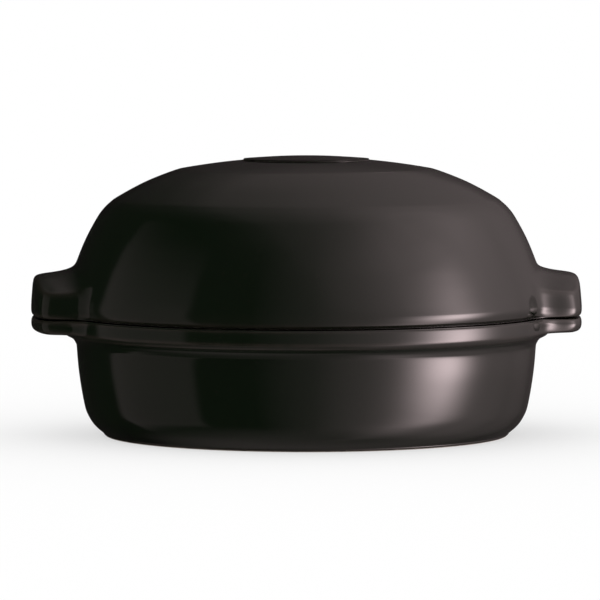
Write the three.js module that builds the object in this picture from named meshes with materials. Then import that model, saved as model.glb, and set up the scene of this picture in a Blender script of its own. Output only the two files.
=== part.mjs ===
// Covered baker for one small soft cheese: a round dish and a domed lid, each a single glazed ceramic
// moulding with two ears. Millimetres, +Z up, origin under the middle of the foot, ears along X.

import * as THREE from "three";

// Driving dimensions of the whole baker
const RIM_DIAMETER = 175; // over the bead round the dish's mouth
const SEAT_LEVEL = 43; // flat top of the dish's rim, which carries the lid
const SEAT_GAP = 0.3; // between the rim and the lid resting on it
const DOME_HEIGHT = 52.4; // from the lid's seat to the edge of its plateau
const WALL = 5.6;

// Ears, the same in plan on the dish and on the lid
const EAR_WIDTH = 53; // over the two outer corners, before they are rounded
const EAR_TAPER = 14; // lean of the sides in plan, in degrees, so that the root is wider
const EAR_DEPTH = 11; // how far they stand out from the rim bead
const EAR_CORNER = 8; // radius of the two outer corners in plan
const EAR_BOW = 1.5; // how far the outer end stands proud at its middle
const EAR_ROOT = 8; // fillet in plan between ear and body

// Dish
const FOOT_EDGE = 1.3; // rounding under the foot
const FOOT_STEP = 0.8; // hollow between the foot and the bottom corner
const FOOT_RING = 8.5; // width of the flat ring that stands on the table
const FOOT_RECESS = 1.2; // depth of the bottom inside that ring
const FLOOR = 5; // thickness of the bottom over the recess
const BOTTOM_CORNER = 15.4; // radius between the bottom and the wall
const INNER_CORNER = 12;
const NECK_HOLLOW = 4.8; // radius of the groove under the rim bead
const BEAD_UNDERSIDE = 3; // lower rounding of the rim bead
const BEAD_SIDE = 2.9; // upright strip of the bead
const BEAD_TOP = 1.4; // upper rounding of the bead
const MOUTH_EDGE = 1.7; // rounding inside the rim
const EAR_STEP = 1.9; // from the bottom of the bead up to the underside of the ears
const EAR_ROUNDING = 2.4; // edges of the ears, all but a full half circle
const EAR_FILLET = 1.2; // between the ears' underside and the bead

// Lid
const LID_INSET = 1.05; // the lid's widest line inside the rim bead
const LID_EDGE = 2.8; // rounding under the lid's edge
const LID_BEAD = 17.2; // radius of the swell over that edge
const UPPER_FLANK = 83;
const SHOULDER = 21.3;
const CROWN = 100;
const PLATEAU_EDGE = 25;
const MEDALLION_DIAMETER = 45; // plain low disc on the plateau
const MEDALLION_HEIGHT = 0.5;
const LUG_HEIGHT = 15.8; // of the lid's ears, where they leave the dome
const LUG_FALL = 10.3; // slope of their top, in degrees
const LUG_DRAFT = 4; // lean of their sides and ends, in degrees
const LUG_BOTTOM_EDGE = 2.6;
const LUG_TOP_EDGE = 2.6;
const LUG_FILLET = 3; // between their top and the dome
const FLANGE_CLEARANCE = 1.4; // round the locating flange inside the dish's mouth
const FLANGE_WIDTH = 4;
const FLANGE_DROP = 4;

// Angles of the outward normal above the horizontal, in degrees, where one arc of a profile ends
const FOOT_SIDE = -20;
const CORNER_START = -56;
const WALL_START = -12;
const WALL_END = -3.2;
const NECK_END = -70;
const LID_BEAD_END = 13.3;
const FLANK_MIDDLE = 20.2;
const FLANK_END = 31.5;
const SHOULDER_END = 58.6;
const CROWN_END = 71.4;
const PLATEAU_START = 80;

// Facets
const ROUND = 64; // points on a plain circle
const END_STEPS = 2; // half of an ear's end
const CORNER_STEPS = 4;
const ROOT_STEPS = 4;
const BODY_STEPS = 12; // quarter of the body between two ears
const EDGE_STATIONS = [0, 30, 60, 90]; // degrees round a rounded edge
const SIDE_STATIONS = [1 / 3, 2 / 3]; // shares of the height of an ear's plain side
const RING_SPACING = 1; // least height between the ears' fillet and the next ring of the dome

const FULLEST_EDGE = 0.48; // share of an ear's thickness that each of its edges may round away

const { degToRad, radToDeg, lerp, clamp } = THREE.MathUtils;
const sine = (degrees) => Math.sin(degToRad(degrees));
const cosine = (degrees) => Math.cos(degToRad(degrees));
const normal = (degrees) => new THREE.Vector2(cosine(degrees), sine(degrees));
const point = (radius, level) => new THREE.Vector2(radius, level);

// Sizes that follow
const RIM_RADIUS = RIM_DIAMETER / 2;
const LID_RADIUS = RIM_RADIUS - LID_INSET;
const LID_LEVEL = SEAT_LEVEL + SEAT_GAP;
const FLOOR_LEVEL = FOOT_RECESS + FLOOR;
const BEAD_DEPTH = BEAD_TOP + BEAD_SIDE - BEAD_UNDERSIDE * sine(NECK_END);
const NECK_DEPTH = NECK_HOLLOW * (sine(WALL_END) - sine(NECK_END));
const NECK_LEVEL = SEAT_LEVEL - BEAD_DEPTH - NECK_DEPTH;
const NECK_REACH = (BEAD_UNDERSIDE + NECK_HOLLOW) * (1 - cosine(NECK_END));
const MOUTH_RADIUS = RIM_RADIUS - NECK_REACH - WALL;
const EAR_REACH = RIM_RADIUS + EAR_DEPTH;
const EAR_HALF = EAR_WIDTH / 2;
const END_HALF = EAR_HALF - EAR_CORNER;
const END_RADIUS = (END_HALF ** 2 + EAR_BOW ** 2) / (2 * EAR_BOW);
const EAR_THICKNESS = BEAD_DEPTH - EAR_STEP;
const EAR_EDGE = Math.min(EAR_ROUNDING, FULLEST_EDGE * EAR_THICKNESS);

// Arcs that run tangent into each other. Each turns the outward normal from the angle where the one
// before it ended to its own, and a negative radius makes a hollow arc.
function tangentArcs(start, fromAngle, arcs) {
  const points = [start];
  let angle = fromAngle;
  for (const { radius, to, steps } of arcs) {
    const centre = points.at(-1).clone().addScaledVector(normal(angle), -radius);
    for (let step = 1; step <= steps; step += 1) {
      points.push(centre.clone().addScaledVector(normal(lerp(angle, to, step / steps)), radius));
    }
    angle = to;
  }
  return points;
}

// The radius of a profile at a level, on a stretch that climbs all the way
function radiusAt(profile, level) {
  const upper = Math.max(1, profile.findIndex((p) => p.y >= level));
  const [a, b] = [profile[upper - 1], profile[upper]];
  return lerp(a.x, b.x, clamp((level - a.y) / (b.y - a.y), 0, 1));
}

// Points along an arc in plan, without its first one
function planArc(centre, radius, from, to, steps) {
  const arc = new THREE.EllipseCurve(centre.x, centre.y, radius, radius, from, to, to < from);
  return arc.getPoints(steps).slice(1);
}

// A quarter of the plan, from the middle of an ear's end round to the Y axis: bowed end, rounded
// corner, leaning side, root fillet and the round body. The ear's edge is drawn in by the inset.
function quarterPlan(radius, inset) {
  const corner = EAR_CORNER - inset;
  const root = EAR_ROOT + inset;
  const endRadius = END_RADIUS - inset;
  const endCentre = point(EAR_REACH - END_RADIUS, 0);
  const sideAngle = Math.PI / 2 - degToRad(EAR_TAPER);
  const across = point(Math.cos(sideAngle), Math.sin(sideAngle)); // square to the side
  const along = point(across.y, -across.x); // outwards along the side
  const side = across.dot(point(EAR_REACH, EAR_HALF)) - inset;
  // The point at a given distance from another one, on the line that runs beside the side
  const beside = (offset, from, distance) => {
    const reach = Math.sqrt(distance ** 2 - (offset - across.dot(from)) ** 2);
    return across.clone().multiplyScalar(offset).addScaledVector(along, along.dot(from) + reach);
  };
  const axis = point(0, 0);
  const cornerCentre = beside(side - corner, endCentre, endRadius - corner);
  const rootCentre = beside(side + root, axis, radius + root);
  const endAngle = Math.atan2(cornerCentre.y, cornerCentre.x - endCentre.x);
  const rootAngle = rootCentre.angle();
  return [
    point(EAR_REACH - inset, 0),
    ...planArc(endCentre, endRadius, 0, endAngle, END_STEPS),
    ...planArc(cornerCentre, corner, endAngle, sideAngle, CORNER_STEPS),
    rootCentre.clone().addScaledVector(across, -root),
    ...planArc(rootCentre, root, Math.PI + sideAngle, Math.PI + rootAngle, ROOT_STEPS),
    ...planArc(axis, radius, rootAngle, Math.PI / 2, BODY_STEPS),
  ];
}

// A whole ring with both ears at one level. Nothing on it reaches past the cap, and levelOf may bend
// it out of its plane.
function earedRing({ level, radius, inset, cap = Infinity, levelOf = () => level }) {
  const quarter = quarterPlan(radius, inset).map((p) => p.clampLength(0, Math.max(cap, radius)));
  const back = quarter.slice(0, -1).reverse();
  const plan = [
    ...quarter,
    ...back.map((p) => point(-p.x, p.y)),
    ...quarter.slice(1).map((p) => point(-p.x, -p.y)),
    ...back.slice(0, -1).map((p) => point(p.x, -p.y)),
  ];
  return plan.map((p) => new THREE.Vector3(p.x, p.y, levelOf(p)));
}

// A plain ring for one point of a profile, or a pole where the profile meets the axis
function roundRing({ x: radius, y: level }) {
  if (radius === 0) return [new THREE.Vector3(0, 0, level)];
  return Array.from({ length: ROUND }, (_, i) => {
    const turn = (i / ROUND) * 2 * Math.PI;
    return new THREE.Vector3(radius * Math.cos(turn), radius * Math.sin(turn), level);
  });
}

// Triangles between two rings, each given as the indices of its points. Rings of one count are joined
// point to point, others by always taking the step that comes first round the axis.
function stitch(lower, upper, turnOf) {
  const turn = (ring, i) => (i < ring.length ? turnOf(ring[i]) : 2 * Math.PI);
  const at = (ring, i) => ring[i % ring.length];
  const triangles = [];
  const lowerSteps = lower.length > 1 ? lower.length : 0;
  const upperSteps = upper.length > 1 ? upper.length : 0;
  let i = 0;
  let j = 0;
  while (i < lowerSteps || j < upperSteps) {
    const paired = lowerSteps === upperSteps;
    const lowerFirst = paired ? i <= j : turn(lower, i + 1) <= turn(upper, j + 1);
    if (j === upperSteps || (i < lowerSteps && lowerFirst)) {
      triangles.push(at(lower, i), at(lower, i + 1), at(upper, j));
      i += 1;
    } else {
      triangles.push(at(lower, i), at(upper, j + 1), at(upper, j));
      j += 1;
    }
  }
  return triangles;
}

// Closed skin over a run of rings from one pole to the other
function loft(rings) {
  const points = rings.flat();
  const turnOf = (index) => (Math.atan2(points[index].y, points[index].x) + 2 * Math.PI) % (2 * Math.PI);
  let first = 0;
  const numbered = rings.map((ring) => {
    const indices = ring.map((_, i) => first + i);
    first += ring.length;
    return indices;
  });
  const triangles = numbered.slice(1).flatMap((ring, i) => stitch(numbered[i], ring, turnOf));
  const geometry = new THREE.BufferGeometry().setFromPoints(points);
  geometry.setIndex(triangles);
  geometry.computeVertexNormals();
  return geometry;
}

// Stations over a rounded edge, from its flat face to its side: how far each has risen off the face, and
// how far it still stands in from the side
function roundedEdge(radius, station) {
  return EDGE_STATIONS.map((angle) => station(radius * (1 - cosine(angle)), radius * (1 - sine(angle))));
}

// Dish: foot, corner, wall, neck and rim bead are one run of arcs, set out so that it ends on the rim.
function dishGeometry() {
  const foot = [
    { radius: FOOT_EDGE, to: FOOT_SIDE, steps: 3 },
    { radius: -FOOT_STEP, to: CORNER_START, steps: 2 },
    { radius: BOTTOM_CORNER, to: WALL_START, steps: 6 },
  ];
  const wallFoot = tangentArcs(point(0, 0), -90, foot).at(-1);
  const wallRadius = (NECK_LEVEL - wallFoot.y) / (sine(WALL_END) - sine(WALL_START));
  const wall = [...foot, { radius: wallRadius, to: WALL_END, steps: 4 }];
  const neck = [...wall, { radius: -NECK_HOLLOW, to: NECK_END, steps: 4 }];
  const beadUnderside = { radius: BEAD_UNDERSIDE, to: 0, steps: 5 };
  const spread = tangentArcs(point(0, 0), -90, [...neck, beadUnderside]).at(-1).x;
  const footEdge = point(RIM_RADIUS - spread, 0);
  const outside = tangentArcs(footEdge, -90, neck);
  const neckTop = outside.at(-1);
  const wallTop = tangentArcs(footEdge, -90, wall).at(-1);
  const bead = [
    ...tangentArcs(neckTop, NECK_END, [beadUnderside]),
    ...tangentArcs(point(RIM_RADIUS, SEAT_LEVEL - BEAD_TOP), 0, [{ radius: BEAD_TOP, to: 90, steps: 5 }]),
  ];

  // Ears: they leave the bead above its underside, and their edges are rounded.
  const earBottom = SEAT_LEVEL - EAR_THICKNESS;
  const underEar = roundedEdge(Math.min(EAR_FILLET, EAR_STEP), (drop, reach) => {
    const level = earBottom - drop;
    return { level, inset: EAR_EDGE, cap: radiusAt(bead, level) + reach };
  });
  const ears = [
    ...underEar.reverse(),
    ...roundedEdge(EAR_EDGE, (rise, inset) => ({ level: earBottom + rise, inset })),
    ...roundedEdge(EAR_EDGE, (drop, inset) => ({ level: SEAT_LEVEL - drop, inset })).reverse(),
  ];

  // Inside: a corner tangent to the floor and to the wall's inner face, and a rounded mouth
  const wallCentre = wallTop.clone().addScaledVector(normal(WALL_END), -wallRadius);
  const cornerReach = wallRadius - WALL - INNER_CORNER;
  const cornerAngle = radToDeg(Math.asin((FLOOR_LEVEL + INNER_CORNER - wallCentre.y) / cornerReach));
  const cornerCentre = wallCentre.clone().addScaledVector(normal(cornerAngle), cornerReach);
  const inside = [
    ...tangentArcs(point(cornerCentre.x, FLOOR_LEVEL), -90, [
      { radius: INNER_CORNER, to: cornerAngle, steps: 6 },
      { radius: wallRadius - WALL, to: WALL_END, steps: 3 },
    ]),
    ...tangentArcs(point(MOUTH_RADIUS, SEAT_LEVEL - MOUTH_EDGE), 180, [
      { radius: MOUTH_EDGE, to: 90, steps: 3 },
    ]),
  ];

  return loft([
    roundRing(point(0, FOOT_RECESS)),
    roundRing(point(footEdge.x - FOOT_RING - FOOT_RECESS, FOOT_RECESS)),
    roundRing(point(footEdge.x - FOOT_RING, 0)),
    ...outside.map(roundRing),
    ...ears.map((ear) => earedRing({ ...ear, radius: radiusAt(bead, ear.level) })),
    ...inside.reverse().map(roundRing),
    roundRing(point(0, FLOOR_LEVEL)),
  ]);
}

// Lid: its outside is one run of arcs from the seat to the plateau. The lower flank takes the radius that
// brings the dome to its height.
function lidGeometry() {
  const belowFlank = [{ radius: LID_BEAD, to: LID_BEAD_END, steps: 1 }];
  const aboveFlank = [
    { radius: UPPER_FLANK, to: FLANK_END, steps: 3 },
    { radius: SHOULDER, to: SHOULDER_END, steps: 5 },
    { radius: CROWN, to: CROWN_END, steps: 3 },
    { radius: PLATEAU_EDGE, to: PLATEAU_START, steps: 2 },
  ];
  const rise = (fromAngle, arcs) => tangentArcs(point(0, 0), fromAngle, arcs).at(-1).y;
  const flankRise = DOME_HEIGHT - LID_EDGE - rise(0, belowFlank) - rise(FLANK_MIDDLE, aboveFlank);
  const flankRadius = flankRise / (sine(FLANK_MIDDLE) - sine(LID_BEAD_END));
  const domeArcs = [...belowFlank, { radius: flankRadius, to: FLANK_MIDDLE, steps: 3 }, ...aboveFlank];
  const skirt = tangentArcs(point(LID_RADIUS - LID_EDGE, LID_LEVEL), -90, [
    { radius: LID_EDGE, to: 0, steps: 6 },
    ...domeArcs,
  ]);
  const plateauEdge = skirt.at(-1);
  const plateauRadius = plateauEdge.x / cosine(PLATEAU_START);
  const plateauBase = plateauEdge.y - plateauRadius * sine(PLATEAU_START);
  const plateauLevel = (radius) => plateauBase + Math.sqrt(plateauRadius ** 2 - radius ** 2);

  // Ears: the bottom edge, the leaning sides, the top edge, and the fillet up to the dome
  const lugTop = LID_LEVEL + LUG_HEIGHT;
  const sideBottom = LID_LEVEL + LUG_BOTTOM_EDGE;
  const sideTop = lugTop - LUG_TOP_EDGE;
  const lean = (level) => Math.max(0, level - sideBottom) * Math.tan(degToRad(LUG_DRAFT));
  const sideLevels = SIDE_STATIONS.map((share) => lerp(sideBottom, sideTop, share));
  const filletStart = radiusAt(skirt, lugTop) + LUG_FILLET;
  const lugs = [
    ...roundedEdge(LUG_BOTTOM_EDGE, (rise, inset) => ({ level: LID_LEVEL + rise, inset })),
    ...sideLevels.map((level) => ({ level, inset: lean(level) })),
    ...roundedEdge(LUG_TOP_EDGE, (rise, inset) => ({
      level: lugTop - rise,
      inset: inset + lean(lugTop - rise),
    })).reverse(),
    ...roundedEdge(LUG_FILLET, (rise, reach) => ({
      level: lugTop + rise,
      inset: LUG_TOP_EDGE + lean(lugTop),
      cap: radiusAt(skirt, lugTop + rise) + reach,
    })),
  ];
  const fall = (level) => {
    const share = clamp((level - sideBottom) / (lugTop - sideBottom), 0, 1);
    return share * Math.tan(degToRad(LUG_FALL));
  };
  const lugRing = (lug) => {
    const levelOf = (p) => lug.level - fall(lug.level) * Math.max(0, Math.abs(p.x) - filletStart);
    return earedRing({ ...lug, radius: radiusAt(skirt, lug.level), levelOf });
  };

  // Plateau with its plain medallion
  const medallion = MEDALLION_DIAMETER / 2;
  const dome = [
    ...skirt.filter((p) => p.y > lugTop + LUG_FILLET + RING_SPACING),
    point((plateauEdge.x + medallion) / 2, plateauLevel((plateauEdge.x + medallion) / 2)),
    point(medallion, plateauLevel(medallion)),
    point(medallion - MEDALLION_HEIGHT, plateauLevel(medallion) + MEDALLION_HEIGHT),
    point(medallion / 2, plateauLevel(medallion / 2) + MEDALLION_HEIGHT),
    point(0, plateauLevel(0) + MEDALLION_HEIGHT),
  ];

  // Inside: the dome at its full thickness, drawn in over the seat to the locating flange
  const flangeRadius = MOUTH_RADIUS - FLANGE_CLEARANCE;
  const flangeInner = flangeRadius - FLANGE_WIDTH;
  const flangeEdge = FLANGE_WIDTH / 2;
  const innerArcs = domeArcs.map((arc) => ({ ...arc, radius: arc.radius - WALL }));
  const innerStart = point(LID_RADIUS - WALL, LID_LEVEL + LID_EDGE);
  const innerDome = tangentArcs(innerStart, 0, innerArcs);
  const innerPlateau = plateauLevel(0) - WALL;
  const throat = innerDome.filter((p) => p.y > LID_LEVEL + 2 * LID_EDGE);
  const flange = tangentArcs(point(flangeInner, LID_LEVEL - FLANGE_DROP + flangeEdge), 180, [
    { radius: flangeEdge, to: 360, steps: 6 },
  ]);
  return loft([
    roundRing(point(0, innerPlateau)),
    ...throat.reverse().map(roundRing),
    roundRing(point(flangeInner + WALL / 2, LID_LEVEL + WALL)),
    roundRing(point(flangeInner, LID_LEVEL)),
    ...flange.map(roundRing),
    roundRing(point(flangeRadius, LID_LEVEL)),
    ...lugs.map(lugRing),
    ...dome.map(roundRing),
  ]);
}

// Charcoal glaze on both pieces
function piece(name, geometry) {
  const glaze = new THREE.MeshStandardMaterial({ color: 0x2a2624, roughness: 0.22, metalness: 0 });
  const mesh = new THREE.Mesh(geometry, glaze);
  mesh.name = name;
  return mesh;
}

const baker = new THREE.Group();
baker.add(piece("dish", dishGeometry()), piece("lid", lidGeometry()));

export default baker;
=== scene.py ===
"""Covered cheese baker in charcoal glaze: a round dish with two ears under a domed lid with two lugs."""

import math

import bmesh
import bpy
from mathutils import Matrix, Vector


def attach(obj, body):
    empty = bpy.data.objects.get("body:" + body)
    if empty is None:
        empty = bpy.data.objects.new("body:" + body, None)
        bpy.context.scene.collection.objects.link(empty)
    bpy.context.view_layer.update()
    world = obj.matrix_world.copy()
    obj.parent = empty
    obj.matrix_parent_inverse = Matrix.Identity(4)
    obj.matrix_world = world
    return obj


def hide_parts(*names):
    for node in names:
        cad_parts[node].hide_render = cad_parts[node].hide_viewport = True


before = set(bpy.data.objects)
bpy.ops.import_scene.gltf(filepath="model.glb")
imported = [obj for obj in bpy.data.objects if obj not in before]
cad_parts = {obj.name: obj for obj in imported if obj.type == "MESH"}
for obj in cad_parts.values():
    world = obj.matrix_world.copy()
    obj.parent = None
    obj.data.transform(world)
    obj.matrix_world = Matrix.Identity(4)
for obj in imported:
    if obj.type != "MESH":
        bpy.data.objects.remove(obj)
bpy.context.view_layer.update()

MM = 0.001
SPOKES = 96  # points on every ring of the two pieces
EAR_SPOKES = 6  # spokes from the middle of an ear to its side
SPOKE = 2 * math.pi / SPOKES
SMOOTHING = 2  # subdivision levels
FITTING_ROUNDS = 6  # rounds in which the rings are fitted to their profile
LOOP_STEP = 5.0  # first pull of an ear, before its rows are set in place

# Sizes are in millimetres. An angle is that of the outward normal, in degrees: 0 is level, 90 is up.

WALL = 5.6

# Dish
FOOT_RADIUS = 71.62
FOOT_EDGE = 1.3
FOOT_INSIDE = 63.7  # where the flat of the foot ring starts
FOOT_RECESS = 1.2
RECESS_RINGS = [32.0, 56.0]  # rings that keep the recess flat
FOOT_BARE_LEVELS = (-1.0, 0.35)  # where the clay of the foot is bare
FOOT_BARE_RADII = (62.4, 72.2)
HEEL_GROOVE = 0.8  # hollow between the foot and the heel
HEEL_CURVE = 15.4
HEEL_START, HEEL_END = -56, -12
SIDE_CURVE = 136.95
SIDE_LEAN = -3.2  # at the top of the side
NECK_HOLLOW = 4.8
NECK_END = -70
RIM_RADIUS = 87.5
RIM_UNDERSIDE = 3.0
RIM_EDGE = 1.0
SEAT_LEVEL = 43.0
SEAT_MIDDLE = 82.0
MOUTH_RADIUS = 76.77
MOUTH_EDGE = 1.7
FLOOR_LEVEL = 6.2
FLOOR_RADIUS = 63.11
FLOOR_CORNER = 12.0
FLOOR_CORNER_END = -10.17
FLOOR_RINGS = [54.0, 30.0]  # rings that keep the floor flat

# Lid
LID_LEVEL = 43.3
LID_RADIUS = 86.37
LID_WIDEST = 3.44  # from the seat up to the lid's widest line
LIP_RADIUS = 84.67
FLANGE_RADIUS = 75.37
FLANGE_EDGE = 2.0
THROAT = [(74.4, 6.0), (72.2, 2.0)]  # inside of the flange, as radius and height over the seat
SEAT_BARE_LEVELS = (42.4, 43.55)  # where the clay of the seat is bare
SEAT_BARE_RADII = (75.6, 83.0)
PLATEAU_START = 80.0
PLATEAU_RING = 33.0  # a ring that keeps the plateau round
CEILING_RING = 22.0  # the same inside
MEDALLION_RADIUS = 22.5
MEDALLION_RISE = 0.5

# The lid's outside, as the radius of each arc, the angle where it ends and its steps
LIP = [(1.2, -25, 2), (6.5, 0, 1)]
# The dome over it, with the steps of its inside as well
DOME = [(14.4, 13.3, 1, 1), (117.42, 20.2, 4, 3), (83.0, 31.5, 3, 2), (21.3, 58.6, 4, 3), (100.0, 71.4, 3, 2),
        (25.0, PLATEAU_START, 2, 1)]

# Ears
ROOT_RADIUS = 84.2  # the inner corners beside the ears lie further out
ROOT_SOFTNESS = 0.8  # how far they reach to each side, in spokes
ROOT_PASSES = 8  # how often they are smoothed
LUG_SIDE = 46.6  # the lug's top is arched above this level
LUG_ARCH = 0.42  # share of the height over that level by which the arch falls towards the sides

# How far each column of an ear's loops stands back, from the middle out to the side
ROOT_BOW = [0.0, 0.12, 0.46, 1.05, 1.85, 2.9, 4.2]
WAIST_BOW = [0.0, 0.08, 0.33, 0.75, 1.33, 2.1, 3.0]
END_BOW = [0.0, 0.12, 0.4, 0.85, 1.45, 2.25, 3.85]

# Where the rows of an ear go in each loop, from the underside up: along X, up Z, half width
DISH_EAR = [
    (ROOT_BOW, [(90.2, 37.75, 28.9), (90.2, 38.5, 29.8), (90.2, 40.2, 30.1), (90.2, 42.1, 30.0),
                (90.2, 42.75, 29.6), (90.2, 43.0, 29.0)]),
    (WAIST_BOW, [(94.0, 37.75, 27.4), (94.0, 38.45, 28.4), (94.0, 40.2, 28.7), (94.0, 42.1, 28.55),
                 (94.0, 42.75, 28.1), (94.0, 43.0, 27.4)]),
    (END_BOW, [(96.9, 37.75, 25.4), (98.3, 38.45, 26.6), (98.75, 40.2, 27.0), (98.6, 42.1, 26.85),
               (98.1, 42.75, 26.4), (97.0, 43.0, 25.5)]),
]
LID_LUG = [
    (ROOT_BOW, [(88.4, 43.3, 29.4), (88.4, 43.5, 29.9), (88.4, 44.3, 30.2), (88.4, 46.6, 30.3),
                (88.4, 50.3, 30.0), (88.4, 54.6, 29.5), (88.4, 57.6, 28.6), (88.4, 58.95, 26.6)]),
    (WAIST_BOW, [(93.6, 43.3, 27.7), (93.6, 43.5, 28.3), (93.6, 44.3, 28.7), (93.6, 46.6, 28.8),
                 (93.6, 50.2, 28.5), (93.6, 54.4, 28.0), (93.6, 57.2, 27.1), (93.6, 58.35, 25.2)]),
    (END_BOW, [(97.2, 43.3, 25.8), (98.2, 43.5, 26.5), (98.7, 44.3, 26.9), (98.75, 46.6, 26.9),
               (98.5, 50.2, 26.6), (98.2, 54.3, 26.1), (97.8, 56.8, 25.2), (96.6, 57.8, 23.4)]),
]


def arcs(start, angle, bends):
    """Points along arcs that run tangent into each other, each given as its radius, the angle of the
    outward normal where it ends and its number of steps. A negative radius makes a hollow arc."""
    points = [start]
    for radius, end, steps in bends:
        turn = math.radians(angle)
        centre_r = points[-1][0] - radius * math.cos(turn)
        centre_z = points[-1][1] - radius * math.sin(turn)
        for step in range(1, steps + 1):
            turn = math.radians(angle + (end - angle) * step / steps)
            points.append((centre_r + radius * math.cos(turn), centre_z + radius * math.sin(turn)))
        angle = end
    return points


def cage_rings(profile):
    """Rings whose subdivided skin runs through the profile, which starts and ends on the axis."""
    swell = 3 / (2 + math.cos(SPOKE))
    cage = list(profile)
    for _ in range(FITTING_ROUNDS):
        for i in range(1, len(profile) - 1):
            before, here, after = cage[i - 1], cage[i], cage[i + 1]
            cage[i] = tuple(
                here[k] + profile[i][k] - (before[k] + 4 * here[k] + after[k]) / 6 for k in (0, 1)
            )
    return [(radius * swell, level) for radius, level in cage]


def radius_at(rings, level):
    """The radius of a run of climbing rings at a level between two of them."""
    for (radius, low), (next_radius, high) in zip(rings, rings[1:]):
        if low <= level <= high:
            return radius + (next_radius - radius) * (level - low) / (high - low)
    raise ValueError(level)


def open_for_edit(piece):
    bpy.ops.object.select_all(action="DESELECT")
    piece.select_set(True)
    bpy.context.view_layer.objects.active = piece
    bpy.ops.object.mode_set(mode="EDIT")


def pick_faces(piece, wanted):
    bpy.ops.mesh.select_all(action="DESELECT")
    bpy.ops.mesh.select_mode(type="FACE")
    mesh = bmesh.from_edit_mesh(piece.data)
    for face in mesh.faces:
        face.select_set(wanted(face.calc_center_median() / MM))
    mesh.select_flush_mode()
    bmesh.update_edit_mesh(piece.data)


def pick_points(piece, wanted):
    bpy.ops.mesh.select_mode(type="VERT")
    bpy.ops.mesh.select_all(action="DESELECT")
    mesh = bmesh.from_edit_mesh(piece.data)
    for vertex in mesh.verts:
        vertex.select_set(wanted(vertex))
    mesh.select_flush_mode()
    bmesh.update_edit_mesh(piece.data)


def close_pole(rise):
    """Draws the selected ring together into one point on the axis."""
    bpy.ops.mesh.extrude_edges_move()
    bpy.ops.mesh.merge(type="CENTER")
    bpy.ops.transform.translate(value=(0, 0, rise * MM))


def raise_rings(name, rings):
    """A circle extruded ring by ring along the profile and closed to a pole at both ends."""
    radius, level = rings[1]
    first_level = level
    bpy.ops.object.select_all(action="DESELECT")
    bpy.ops.mesh.primitive_circle_add(vertices=SPOKES, radius=radius * MM, location=(0, 0, level * MM))
    piece = bpy.context.active_object
    piece.name = piece.data.name = name
    bpy.ops.object.transform_apply(location=True, rotation=True, scale=True)
    open_for_edit(piece)
    bpy.ops.mesh.select_mode(type="VERT")
    bpy.ops.mesh.select_all(action="SELECT")
    for next_radius, next_level in rings[2:-1]:
        bpy.ops.mesh.extrude_edges_move()
        growth = next_radius / radius
        bpy.ops.transform.resize(value=(growth, growth, 1), center_override=(0, 0, level * MM))
        bpy.ops.transform.translate(value=(0, 0, (next_level - level) * MM))
        radius, level = next_radius, next_level
    close_pole(rings[-1][1] - level)
    pick_points(piece, lambda vertex: vertex.is_boundary)
    close_pole(rings[0][1] - first_level)
    bpy.ops.mesh.select_all(action="SELECT")
    bpy.ops.mesh.normals_make_consistent(inside=False)
    bpy.ops.object.mode_set(mode="OBJECT")
    return piece


def pull_ear(piece, side, rings, loops, arch=0.0):
    """Extrudes an ear out of the faces between the rings, one loop after the other. An arched ear falls
    from its middle towards both sides."""
    reach = math.sin(SPOKE * EAR_SPOKES)
    levels = [level for _, level in rings]
    widths = [radius * reach for radius, _ in rings]
    inner_radius = min(radius for radius, _ in rings) - 0.6

    def on_ear(at):
        turn = abs(math.atan2(at.y, at.x * side))
        return turn < SPOKE * EAR_SPOKES and levels[0] < at.z < levels[-1] and at.xy.length > inner_radius

    def squash(column):
        return 1 - arch * (math.sin(SPOKE * column) / reach) ** 2

    def arched(level, column):
        return LUG_SIDE + (level - LUG_SIDE) * squash(column) if level > LUG_SIDE else level

    def rows_and_columns(is_arched):
        places = {}
        for vertex in bmesh.from_edit_mesh(piece.data).verts:
            if vertex.select:
                fits = []
                for row, (level, width) in enumerate(zip(levels, widths)):
                    share = min(1, abs(vertex.co.y) / MM / width)
                    column = round(math.asin(share * reach) / SPOKE)
                    there = arched(level, column) if is_arched else level
                    fits.append((abs(vertex.co.z / MM - there), row, column))
                places[vertex.index] = min(fits)[1:]
        return places

    def pick_row(wanted):
        pick_points(piece, lambda v: v.index in places and places[v.index][0] == wanted)

    def pick_column(wanted, above=-math.inf):
        pick_points(piece, lambda v: v.index in places and places[v.index][1] == wanted
                    and v.co.z > above * MM)

    open_for_edit(piece)
    pick_faces(piece, on_ear)
    places = rows_and_columns(is_arched=False)

    # The points on the wall come down to the arch along the wall
    for row, (radius, level) in enumerate(rings):
        for column in range(1, EAR_SPOKES + 1):
            lowered = arched(level, column)
            if lowered < level:
                growth = radius_at(rings, lowered) / radius
                pick_points(piece, lambda v: places.get(v.index) == (row, column))
                bpy.ops.transform.resize(value=(growth, growth, squash(column)),
                                         center_override=(0, 0, LUG_SIDE * MM))
    pick_points(piece, lambda v: v.index in places)
    bpy.ops.mesh.select_mode(type="FACE")

    for bow, rows in loops:
        bpy.ops.mesh.extrude_region_move(TRANSFORM_OT_translate={"value": (side * LOOP_STEP * MM, 0, 0)})
        places = rows_and_columns(is_arched=True)
        for row, (x, z, half_width) in enumerate(rows):
            pick_row(row)
            row_place = (side * x * MM, 0, z * MM)
            bpy.ops.transform.resize(value=(0, half_width / widths[row], 0), center_override=row_place)
        for column, back in enumerate(bow):
            pick_column(column)
            bpy.ops.transform.translate(value=(-side * back * MM, 0, 0))
            pick_column(column, above=LUG_SIDE)
            bpy.ops.transform.resize(value=(1, 1, squash(column)), center_override=(0, 0, LUG_SIDE * MM))
        levels = [z for _, z, _ in rows]
        widths = [half_width for _, _, half_width in rows]
        pick_points(piece, lambda v: v.index in places)
        bpy.ops.mesh.select_mode(type="FACE")
    bpy.ops.object.mode_set(mode="OBJECT")


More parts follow.
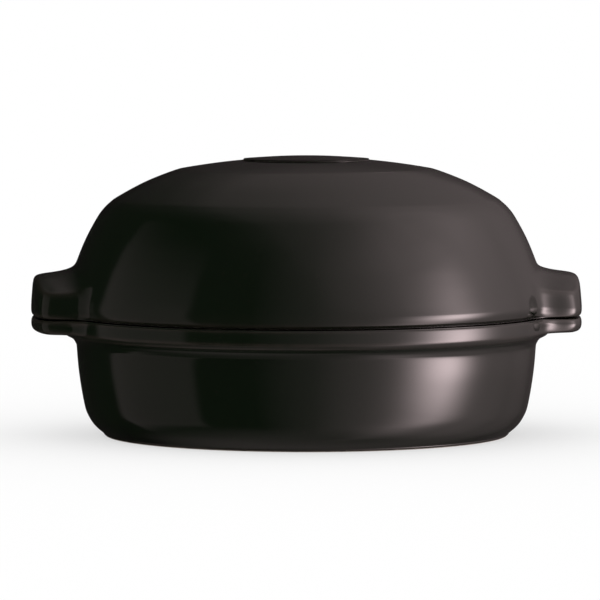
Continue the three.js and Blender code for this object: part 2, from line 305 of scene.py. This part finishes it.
def smooth_skin(piece):
    bpy.ops.object.select_all(action="DESELECT")
    piece.select_set(True)
    bpy.context.view_layer.objects.active = piece
    skin = piece.modifiers.new("smooth_skin", "SUBSURF")
    skin.levels = skin.render_levels = SMOOTHING
    bpy.ops.object.modifier_apply(modifier=skin.name)
    bpy.ops.object.shade_smooth()


def settle_roots(piece, low, high):
    """Softens the inner corners beside the ears, where the rim's edge runs into them."""
    def in_corner(vertex):
        turn = math.atan2(abs(vertex.co.y), abs(vertex.co.x)) / SPOKE
        beside = abs(turn - EAR_SPOKES) < ROOT_SOFTNESS and vertex.co.xy.length > ROOT_RADIUS * MM
        return beside and low * MM < vertex.co.z < high * MM

    open_for_edit(piece)
    pick_points(piece, in_corner)
    bpy.ops.mesh.vertices_smooth(factor=0.5, repeat=ROOT_PASSES)
    bpy.ops.object.mode_set(mode="OBJECT")


def mark_thin_glaze(piece):
    """Stores how tightly the skin bends outwards at each point, since molten glaze runs off such edges."""
    first_bend, full_bend = 0.08, 0.48  # each one over a radius in millimetres
    thinning = piece.data.attributes.new("glaze_thinning", "FLOAT", "POINT")
    skin = bmesh.new()
    skin.from_mesh(piece.data)
    for vertex in skin.verts:
        bends = []
        for edge in vertex.link_edges:
            near = edge.other_vert(vertex)
            step = (near.co - vertex.co) / MM
            bends.append((near.normal - vertex.normal).dot(step) / step.length_squared)
        share = (max(bends) - first_bend) / (full_bend - first_bend)
        thinning.data[vertex.index].value = min(1, max(0, share))
    skin.free()


def model_dish():
    underside = [
        (0, FOOT_RECESS), *((radius, FOOT_RECESS) for radius in RECESS_RINGS),
        (FOOT_INSIDE - 2.8, FOOT_RECESS), (FOOT_INSIDE - 1.8, FOOT_RECESS - 0.12), (FOOT_INSIDE - 1.0, 0.12),
        (FOOT_INSIDE, 0), (FOOT_INSIDE + 3.9, 0),
    ]
    outside = arcs((FOOT_RADIUS, 0), -90, [
        (FOOT_EDGE, -20, 3), (-HEEL_GROOVE, HEEL_START, 1), (HEEL_CURVE, HEEL_END, 4),
        (SIDE_CURVE, SIDE_LEAN, 4), (-NECK_HOLLOW, NECK_END, 4), (RIM_UNDERSIDE, 0, 3),
    ])
    rim = arcs((RIM_RADIUS, SEAT_LEVEL - RIM_EDGE), 0, [(RIM_EDGE, 90, 3)])
    mouth = arcs((MOUTH_RADIUS + MOUTH_EDGE, SEAT_LEVEL), 90, [(MOUTH_EDGE, 180, 3)])
    inside = arcs((FLOOR_RADIUS, FLOOR_LEVEL), -90, [
        (FLOOR_CORNER, FLOOR_CORNER_END, 4), (SIDE_CURVE - WALL, SIDE_LEAN, 3),
    ])
    floor = [*((radius, FLOOR_LEVEL) for radius in FLOOR_RINGS), (0, FLOOR_LEVEL)]
    profile = [*underside, *outside, *rim, (SEAT_MIDDLE, SEAT_LEVEL), *mouth, *reversed(inside), *floor]
    rings = cage_rings(profile)
    dish = raise_rings("glazed_dish", rings)
    lowest = profile.index(outside[-2])
    ear_rings = rings[lowest:lowest + len(DISH_EAR[0][1])]
    for side in (1, -1):
        pull_ear(dish, side, ear_rings, DISH_EAR)
    smooth_skin(dish)
    settle_roots(dish, SEAT_LEVEL - 2.2, SEAT_LEVEL - 0.15)
    mark_thin_glaze(dish)
    return dish


def model_lid():
    outside = arcs((LIP_RADIUS, LID_LEVEL), -90, LIP + [
        (radius, end, steps) for radius, end, steps, _ in DOME
    ])
    edge_radius, edge_level = outside[-1]
    plateau_radius = edge_radius / math.cos(math.radians(PLATEAU_START))
    plateau_centre = edge_level - plateau_radius * math.sin(math.radians(PLATEAU_START))

    def plateau(radius, lift):
        return radius, plateau_centre + math.sqrt(plateau_radius ** 2 - radius ** 2) + lift

    top = [
        plateau(PLATEAU_RING, 0),
        plateau(MEDALLION_RADIUS + 1.2, 0),
        plateau(MEDALLION_RADIUS + 0.4, 0.05),
        plateau(MEDALLION_RADIUS - 0.3, MEDALLION_RISE - 0.05),
        plateau(MEDALLION_RADIUS - 1.1, MEDALLION_RISE),
        plateau(MEDALLION_RADIUS - 11.5, MEDALLION_RISE),
        plateau(0, MEDALLION_RISE),
    ]
    inside = arcs((LID_RADIUS - WALL, LID_LEVEL + LID_WIDEST), 0, [
        (radius - WALL, end, steps) for radius, end, _, steps in DOME
    ])
    ceiling = [plateau(0, -WALL), plateau(CEILING_RING, -WALL)]
    throat = [(radius, LID_LEVEL + height) for radius, height in THROAT]
    flange = arcs((FLANGE_RADIUS - 2 * FLANGE_EDGE, LID_LEVEL - FLANGE_EDGE), 180, [(FLANGE_EDGE, 360, 4)])
    seat = [(FLANGE_RADIUS + 0.1, LID_LEVEL - 0.7), (FLANGE_RADIUS + 0.8, LID_LEVEL)]
    profile = [*ceiling, *reversed(inside[2:]), *throat, *flange, *seat, *outside, *top]
    rings = cage_rings(profile)
    lid = raise_rings("glazed_lid", rings)
    lowest = profile.index(outside[0])
    lug_rings = rings[lowest:lowest + len(LID_LUG[0][1])]
    for side in (1, -1):
        pull_ear(lid, side, lug_rings, LID_LUG, LUG_ARCH)
    smooth_skin(lid)
    settle_roots(lid, LID_LEVEL + 0.1, LID_LEVEL + 2.4)
    mark_thin_glaze(lid)
    return lid


# Finishes

def joined(tree, kind, values=None, **settings):
    """A new node with its settings, and its inputs set to numbers or linked to sockets."""
    node = tree.nodes.new(kind)
    for setting, value in settings.items():
        setattr(node, setting, value)
    for socket, value in (values or {}).items():
        if isinstance(value, bpy.types.NodeSocket):
            tree.links.new(value, node.inputs[socket])
        else:
            node.inputs[socket].default_value = value
    return node


def maths(tree, operation, *values):
    return joined(tree, "ShaderNodeMath", dict(enumerate(values)), operation=operation).outputs[0]


def soft_step(tree, value, start, end):
    """0 before the start and 1 past the end."""
    return joined(tree, "ShaderNodeMapRange", {"Value": value, "From Min": start, "From Max": end},
                  interpolation_type="SMOOTHSTEP").outputs["Result"]


def band(tree, value, start, end, softness):
    """1 between two bounds, falling softly to 0 outside them."""
    rise = soft_step(tree, value, start - softness, start + softness)
    fall = soft_step(tree, value, end + softness, end - softness)
    return maths(tree, "MULTIPLY", rise, fall)


def noise(tree, place, scale, detail, roughness=0.5):
    return joined(tree, "ShaderNodeTexNoise", {
        "Vector": place, "Scale": scale, "Detail": detail, "Roughness": roughness,
    }).outputs["Fac"]


def blend_colour(tree, share, first, second):
    mix = joined(tree, "ShaderNodeMix", {"Factor": share}, data_type="RGBA")
    for socket, value in ((mix.inputs[6], first), (mix.inputs[7], second)):
        if isinstance(value, bpy.types.NodeSocket):
            tree.links.new(value, socket)
        else:
            socket.default_value = (*value, 1)
    return mix.outputs[2]


GLAZE_DEEP = (0.0016, 0.0044, 0.0015)
GLAZE_PALE = (0.0031, 0.0056, 0.0027)
GLAZE_THIN = (0.0180, 0.0140, 0.0110)
GLAZE_SPECK = (0.016, 0.012, 0.010)
CLAY_DARK = (0.30, 0.235, 0.18)
CLAY_PALE = (0.47, 0.39, 0.31)
GLAZE_INDEX = 1.5
GLAZE_ROUGHNESS, GLAZE_UNEVENNESS = 0.065, 0.05
THIN_ROUGHNESS = 0.06  # more where the glaze is thin
CLAY_ROUGHNESS = 0.85

# Scales of the noises, in waves to the metre
CLAY_GRAIN = 1400
GLAZE_LINE = 260
POOLING = 22
THINNING = 150
SPECKS = 900
GLOSS = 60
WAVES = 38
PEEL = 420

# Heights of the relief, in metres
WAVE_HEIGHT = 0.00011
PEEL_HEIGHT = 0.0000022
CLAY_TOOTH = 0.00025
RAGGED_EDGE = 0.0012  # how far the glaze line wanders up and down


def charcoal_glaze(name, bare_levels, bare_radii):
    """Glossy near-black glaze that pools and thins a little, over clay left bare in one ring, between two
    levels and two radii."""
    finish = bpy.data.materials.new(name)
    finish.use_nodes = True
    tree = finish.node_tree
    shader = tree.nodes["Principled BSDF"]
    place = joined(tree, "ShaderNodeTexCoord").outputs["Object"]
    level = joined(tree, "ShaderNodeSeparateXYZ", {"Vector": place}).outputs["Z"]
    in_plan = joined(tree, "ShaderNodeVectorMath", {0: place, 1: (1, 1, 0)}, operation="MULTIPLY").outputs[0]
    from_axis = joined(tree, "ShaderNodeVectorMath", {0: in_plan}, operation="LENGTH").outputs["Value"]

    grain = noise(tree, place, CLAY_GRAIN, 3, 0.6)
    wandering = maths(tree, "SUBTRACT", noise(tree, place, GLAZE_LINE, 3), 0.5)
    ragged = maths(tree, "MULTIPLY_ADD", wandering, RAGGED_EDGE, level)
    low, high = [bound * MM for bound in bare_levels]
    inner, outer = [bound * MM for bound in bare_radii]
    bare = maths(tree, "MULTIPLY", band(tree, ragged, low, high, 0.00008),
                 band(tree, from_axis, inner, outer, 0.0004))

    pooling = noise(tree, place, POOLING, 3)
    glaze = blend_colour(tree, pooling, GLAZE_DEEP, GLAZE_PALE)
    edges = joined(tree, "ShaderNodeAttribute", attribute_name="glaze_thinning").outputs["Fac"]
    thin = maths(tree, "MULTIPLY", edges, noise(tree, place, THINNING, 3))
    worn = blend_colour(tree, thin, glaze, GLAZE_THIN)
    specks = joined(tree, "ShaderNodeMapRange", {
        "Value": noise(tree, place, SPECKS, 1), "From Min": 0.70, "From Max": 0.78, "To Max": 0.35,
    }).outputs["Result"]
    speckled = blend_colour(tree, specks, worn, GLAZE_SPECK)
    clay = blend_colour(tree, grain, CLAY_DARK, CLAY_PALE)
    tree.links.new(blend_colour(tree, bare, speckled, clay), shader.inputs["Base Color"])

    gloss = maths(tree, "MULTIPLY_ADD", noise(tree, place, GLOSS, 2), GLAZE_UNEVENNESS, GLAZE_ROUGHNESS)
    dulled = maths(tree, "MULTIPLY_ADD", thin, THIN_ROUGHNESS, gloss)
    roughness = joined(tree, "ShaderNodeMix", {0: bare, 2: dulled, 3: CLAY_ROUGHNESS}, data_type="FLOAT")
    tree.links.new(roughness.outputs[0], shader.inputs["Roughness"])

    waves = maths(tree, "MULTIPLY", noise(tree, place, WAVES, 1), WAVE_HEIGHT)
    peel = maths(tree, "MULTIPLY_ADD", noise(tree, place, PEEL, 2), PEEL_HEIGHT, waves)
    tooth = maths(tree, "MULTIPLY", maths(tree, "MULTIPLY", grain, bare), CLAY_TOOTH)
    height = maths(tree, "ADD", peel, tooth)
    relief = joined(tree, "ShaderNodeBump", {"Strength": 1.0, "Distance": 1.0, "Height": height})
    tree.links.new(relief.outputs["Normal"], shader.inputs["Normal"])
    shader.inputs["IOR"].default_value = GLAZE_INDEX
    return finish


# Stage

FLOOR_GREY = 0.40
FLOOR_GLOW = 0.58
DAYLIGHT = 1.05

# Light in the tent, as an angle in degrees and the strength there: round the walls from the back by the left,
# away from the middle of the roof, and up the lamp from below
WALL_LIGHT = [(-180, 0.01), (-150, 0.01), (-30, 0.03), (0, 0.21), (25, 0.57), (48, 1.05), (95, 1.08),
              (120, 0.46), (150, 0.10), (180, 0.015)]
ROOF_LIGHT = [(0, 1.1), (15, 1.06), (25, 0.78), (35, 0.53), (45, 0.38), (52, 0.29), (58, 0.23), (63, 0.18),
              (68, 0.10), (75, 0.04), (88, 0.0)]
LAMP_LIGHT = [(-90, 0.0), (-60, 0.15), (-45, 0.6), (-34, 1.5), (-23, 3.0), (-15, 6.6), (-10, 10.0),
              (-2.5, 10.0), (2, 2.4), (20, 2.1), (26, 1.3), (32, 0.4), (42, 0.0)]
ROOF_MIDDLE = (0.669, 0, 0.743)
WALLS_FADE = (75, 35)  # from the roof down
TABLE_LIGHT = 0.23
TABLE_FADE = (-35, -75)
LOW_RIGHT_DIMMING = -0.33
LOW_RIGHT_TURN, LOW_RIGHT_HEIGHT = (70, 95), (2, -12)
LAMP_TURN = 71.5
LAMP_LEAN = 0.3  # degrees that it turns left for each degree under its knee
LAMP_KNEE = -4.0
LAMP_RIGHT, LAMP_LEFT = 9.5, -11.5  # spread to each side
WINDOW_LIGHT = 0.165
WINDOW_LEFT, WINDOW_RIGHT = -118, -62
WINDOW_SILL, WINDOW_HEAD = (-46, -30), (45, 10)
TENT_COLOUR = (1.18, 0.96, 0.98, 1)


def plain_floor():
    """White light table: part of its white is its own glow, which keeps the shadow on it soft."""
    bpy.ops.object.select_all(action="DESELECT")
    bpy.ops.mesh.primitive_plane_add(size=160, location=(0, 0, 0))
    floor = bpy.context.active_object
    floor.name = "pale_floor"
    paper = bpy.data.materials.new("white_light_table")
    paper.use_nodes = True
    shader = paper.node_tree.nodes["Principled BSDF"]
    shader.inputs["Base Color"].default_value = (FLOOR_GREY, FLOOR_GREY, FLOOR_GREY, 1)
    shader.inputs["Roughness"].default_value = 0.9
    shader.inputs["Specular IOR Level"].default_value = 0.0
    shader.inputs["Emission Color"].default_value = (1, 1, 1, 1)
    shader.inputs["Emission Strength"].default_value = FLOOR_GLOW
    floor.data.materials.append(paper)
    floor.visible_glossy = False


def light_along(tree, angle, stops):
    """A strength that follows the stops along an angle, each stop an angle and the strength there."""
    start, end = stops[0][0], stops[-1][0]
    brightest = max(strength for _, strength in stops)
    share = joined(tree, "ShaderNodeMapRange", {"Value": angle, "From Min": start, "From Max": end})
    ramp = joined(tree, "ShaderNodeValToRGB", {"Fac": share.outputs["Result"]})
    elements = ramp.color_ramp.elements
    for stop, _ in stops[1:-1]:
        elements.new((stop - start) / (end - start))
    for element, (_, strength) in zip(elements, stops):
        grey = strength / brightest
        element.color = (grey, grey, grey, 1)
    return maths(tree, "MULTIPLY", ramp.outputs["Color"], brightest)


def studio_tent():
    """Dark tent round the table with a soft lamp on the right, a dim window on the left and a pale roof,
    which only the glaze mirrors."""
    bpy.ops.object.select_all(action="DESELECT")
    bpy.ops.mesh.primitive_uv_sphere_add(segments=48, ring_count=24, radius=4, location=(0, 0, 0))
    tent = bpy.context.active_object
    tent.name = "studio_tent"
    cloth = bpy.data.materials.new("tent_cloth")
    cloth.use_nodes = True
    tree = cloth.node_tree
    tree.nodes.clear()
    place = joined(tree, "ShaderNodeTexCoord").outputs["Object"]
    ray = joined(tree, "ShaderNodeVectorMath", {0: place}, operation="NORMALIZE").outputs[0]
    right, away, up = joined(tree, "ShaderNodeSeparateXYZ", {"Vector": ray}).outputs
    turn = maths(tree, "DEGREES", maths(tree, "ARCTAN2", right, maths(tree, "MULTIPLY", away, -1.0)))
    height = maths(tree, "DEGREES", maths(tree, "ARCSINE", up))

    walls = light_along(tree, turn, WALL_LIGHT)
    low_right = maths(tree, "MULTIPLY", soft_step(tree, turn, *LOW_RIGHT_TURN),
                      soft_step(tree, height, *LOW_RIGHT_HEIGHT))
    dimmed = maths(tree, "MULTIPLY", walls, maths(tree, "MULTIPLY_ADD", low_right, LOW_RIGHT_DIMMING, 1.0))
    walls = maths(tree, "MULTIPLY", dimmed, soft_step(tree, height, *WALLS_FADE))
    to_roof = joined(tree, "ShaderNodeVectorMath", {0: ray, 1: ROOF_MIDDLE}, operation="DOT_PRODUCT")
    off_roof = maths(tree, "DEGREES", maths(tree, "ARCCOSINE", to_roof.outputs["Value"]))
    roof = light_along(tree, off_roof, ROOF_LIGHT)
    both = maths(tree, "ADD", maths(tree, "MULTIPLY", walls, walls), maths(tree, "MULTIPLY", roof, roof))
    roofed = maths(tree, "SQRT", both)
    table = soft_step(tree, height, *TABLE_FADE)
    tabled = joined(tree, "ShaderNodeMix", {0: table, 2: roofed, 3: TABLE_LIGHT}, data_type="FLOAT")
    surround = tabled.outputs[0]

    below = maths(tree, "MINIMUM", maths(tree, "SUBTRACT", height, LAMP_KNEE), 0.0)
    lean = maths(tree, "MULTIPLY", below, LAMP_LEAN)
    off_lamp = maths(tree, "SUBTRACT", maths(tree, "SUBTRACT", turn, LAMP_TURN), lean)
    off_edge = maths(tree, "MAXIMUM", maths(tree, "DIVIDE", off_lamp, LAMP_RIGHT),
                     maths(tree, "DIVIDE", off_lamp, LAMP_LEFT))
    across_lamp = maths(tree, "EXPONENT", maths(tree, "MULTIPLY", maths(tree, "POWER", off_edge, 2.0), -0.5))
    lamp = maths(tree, "MULTIPLY", across_lamp, light_along(tree, height, LAMP_LIGHT))

    sill = soft_step(tree, height, *WINDOW_SILL)
    head = soft_step(tree, height, *WINDOW_HEAD)
    pane = maths(tree, "MULTIPLY", sill, head)
    window = maths(tree, "MULTIPLY", band(tree, turn, WINDOW_LEFT, WINDOW_RIGHT, 3), pane)

    light = maths(tree, "MULTIPLY_ADD", window, WINDOW_LIGHT, maths(tree, "ADD", surround, lamp))
    emission = joined(tree, "ShaderNodeEmission", {"Color": TENT_COLOUR, "Strength": light})
    joined(tree, "ShaderNodeOutputMaterial", {"Surface": emission.outputs[0]})
    tent.data.materials.append(cloth)
    for ray_kind in ("camera", "diffuse", "transmission", "volume_scatter", "shadow"):
        setattr(tent, "visible_" + ray_kind, False)


def soft_daylight():
    world = bpy.data.worlds.new("soft_daylight")
    bpy.context.scene.world = world
    world.use_nodes = True
    sky = world.node_tree.nodes["Background"]
    sky.inputs["Color"].default_value = (1, 1, 1, 1)
    sky.inputs["Strength"].default_value = DAYLIGHT


def front_camera():
    """Far off and a little above the lid, the left ear nearer than the right one. Lengths are in metres."""
    yaw = math.radians(4.0)
    distance = 1.8
    height = 0.160
    place = Vector((-math.sin(yaw) * distance, -math.cos(yaw) * distance, height))
    target = Vector((-0.00225, 0.00016, 0.0482))
    lens = bpy.data.cameras.new("front_camera")
    lens.sensor_width = 36.0
    lens.lens = 301.4
    lens.clip_end = 500.0
    camera = bpy.data.objects.new("front_camera", lens)
    camera.location = place
    camera.rotation_euler = (target - place).to_track_quat("-Z", "Y").to_euler()
    bpy.context.scene.collection.objects.link(camera)
    bpy.context.scene.camera = camera


dish = model_dish()
dish.data.materials.append(charcoal_glaze("dish_charcoal_glaze", FOOT_BARE_LEVELS, FOOT_BARE_RADII))
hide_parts("dish")
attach(dish, "dish")

lid = model_lid()
lid.data.materials.append(charcoal_glaze("lid_charcoal_glaze", SEAT_BARE_LEVELS, SEAT_BARE_RADII))
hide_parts("lid")
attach(lid, "lid")

plain_floor()
studio_tent()
soft_daylight()
front_camera()
bpy.context.scene.view_settings.view_transform = "Standard"
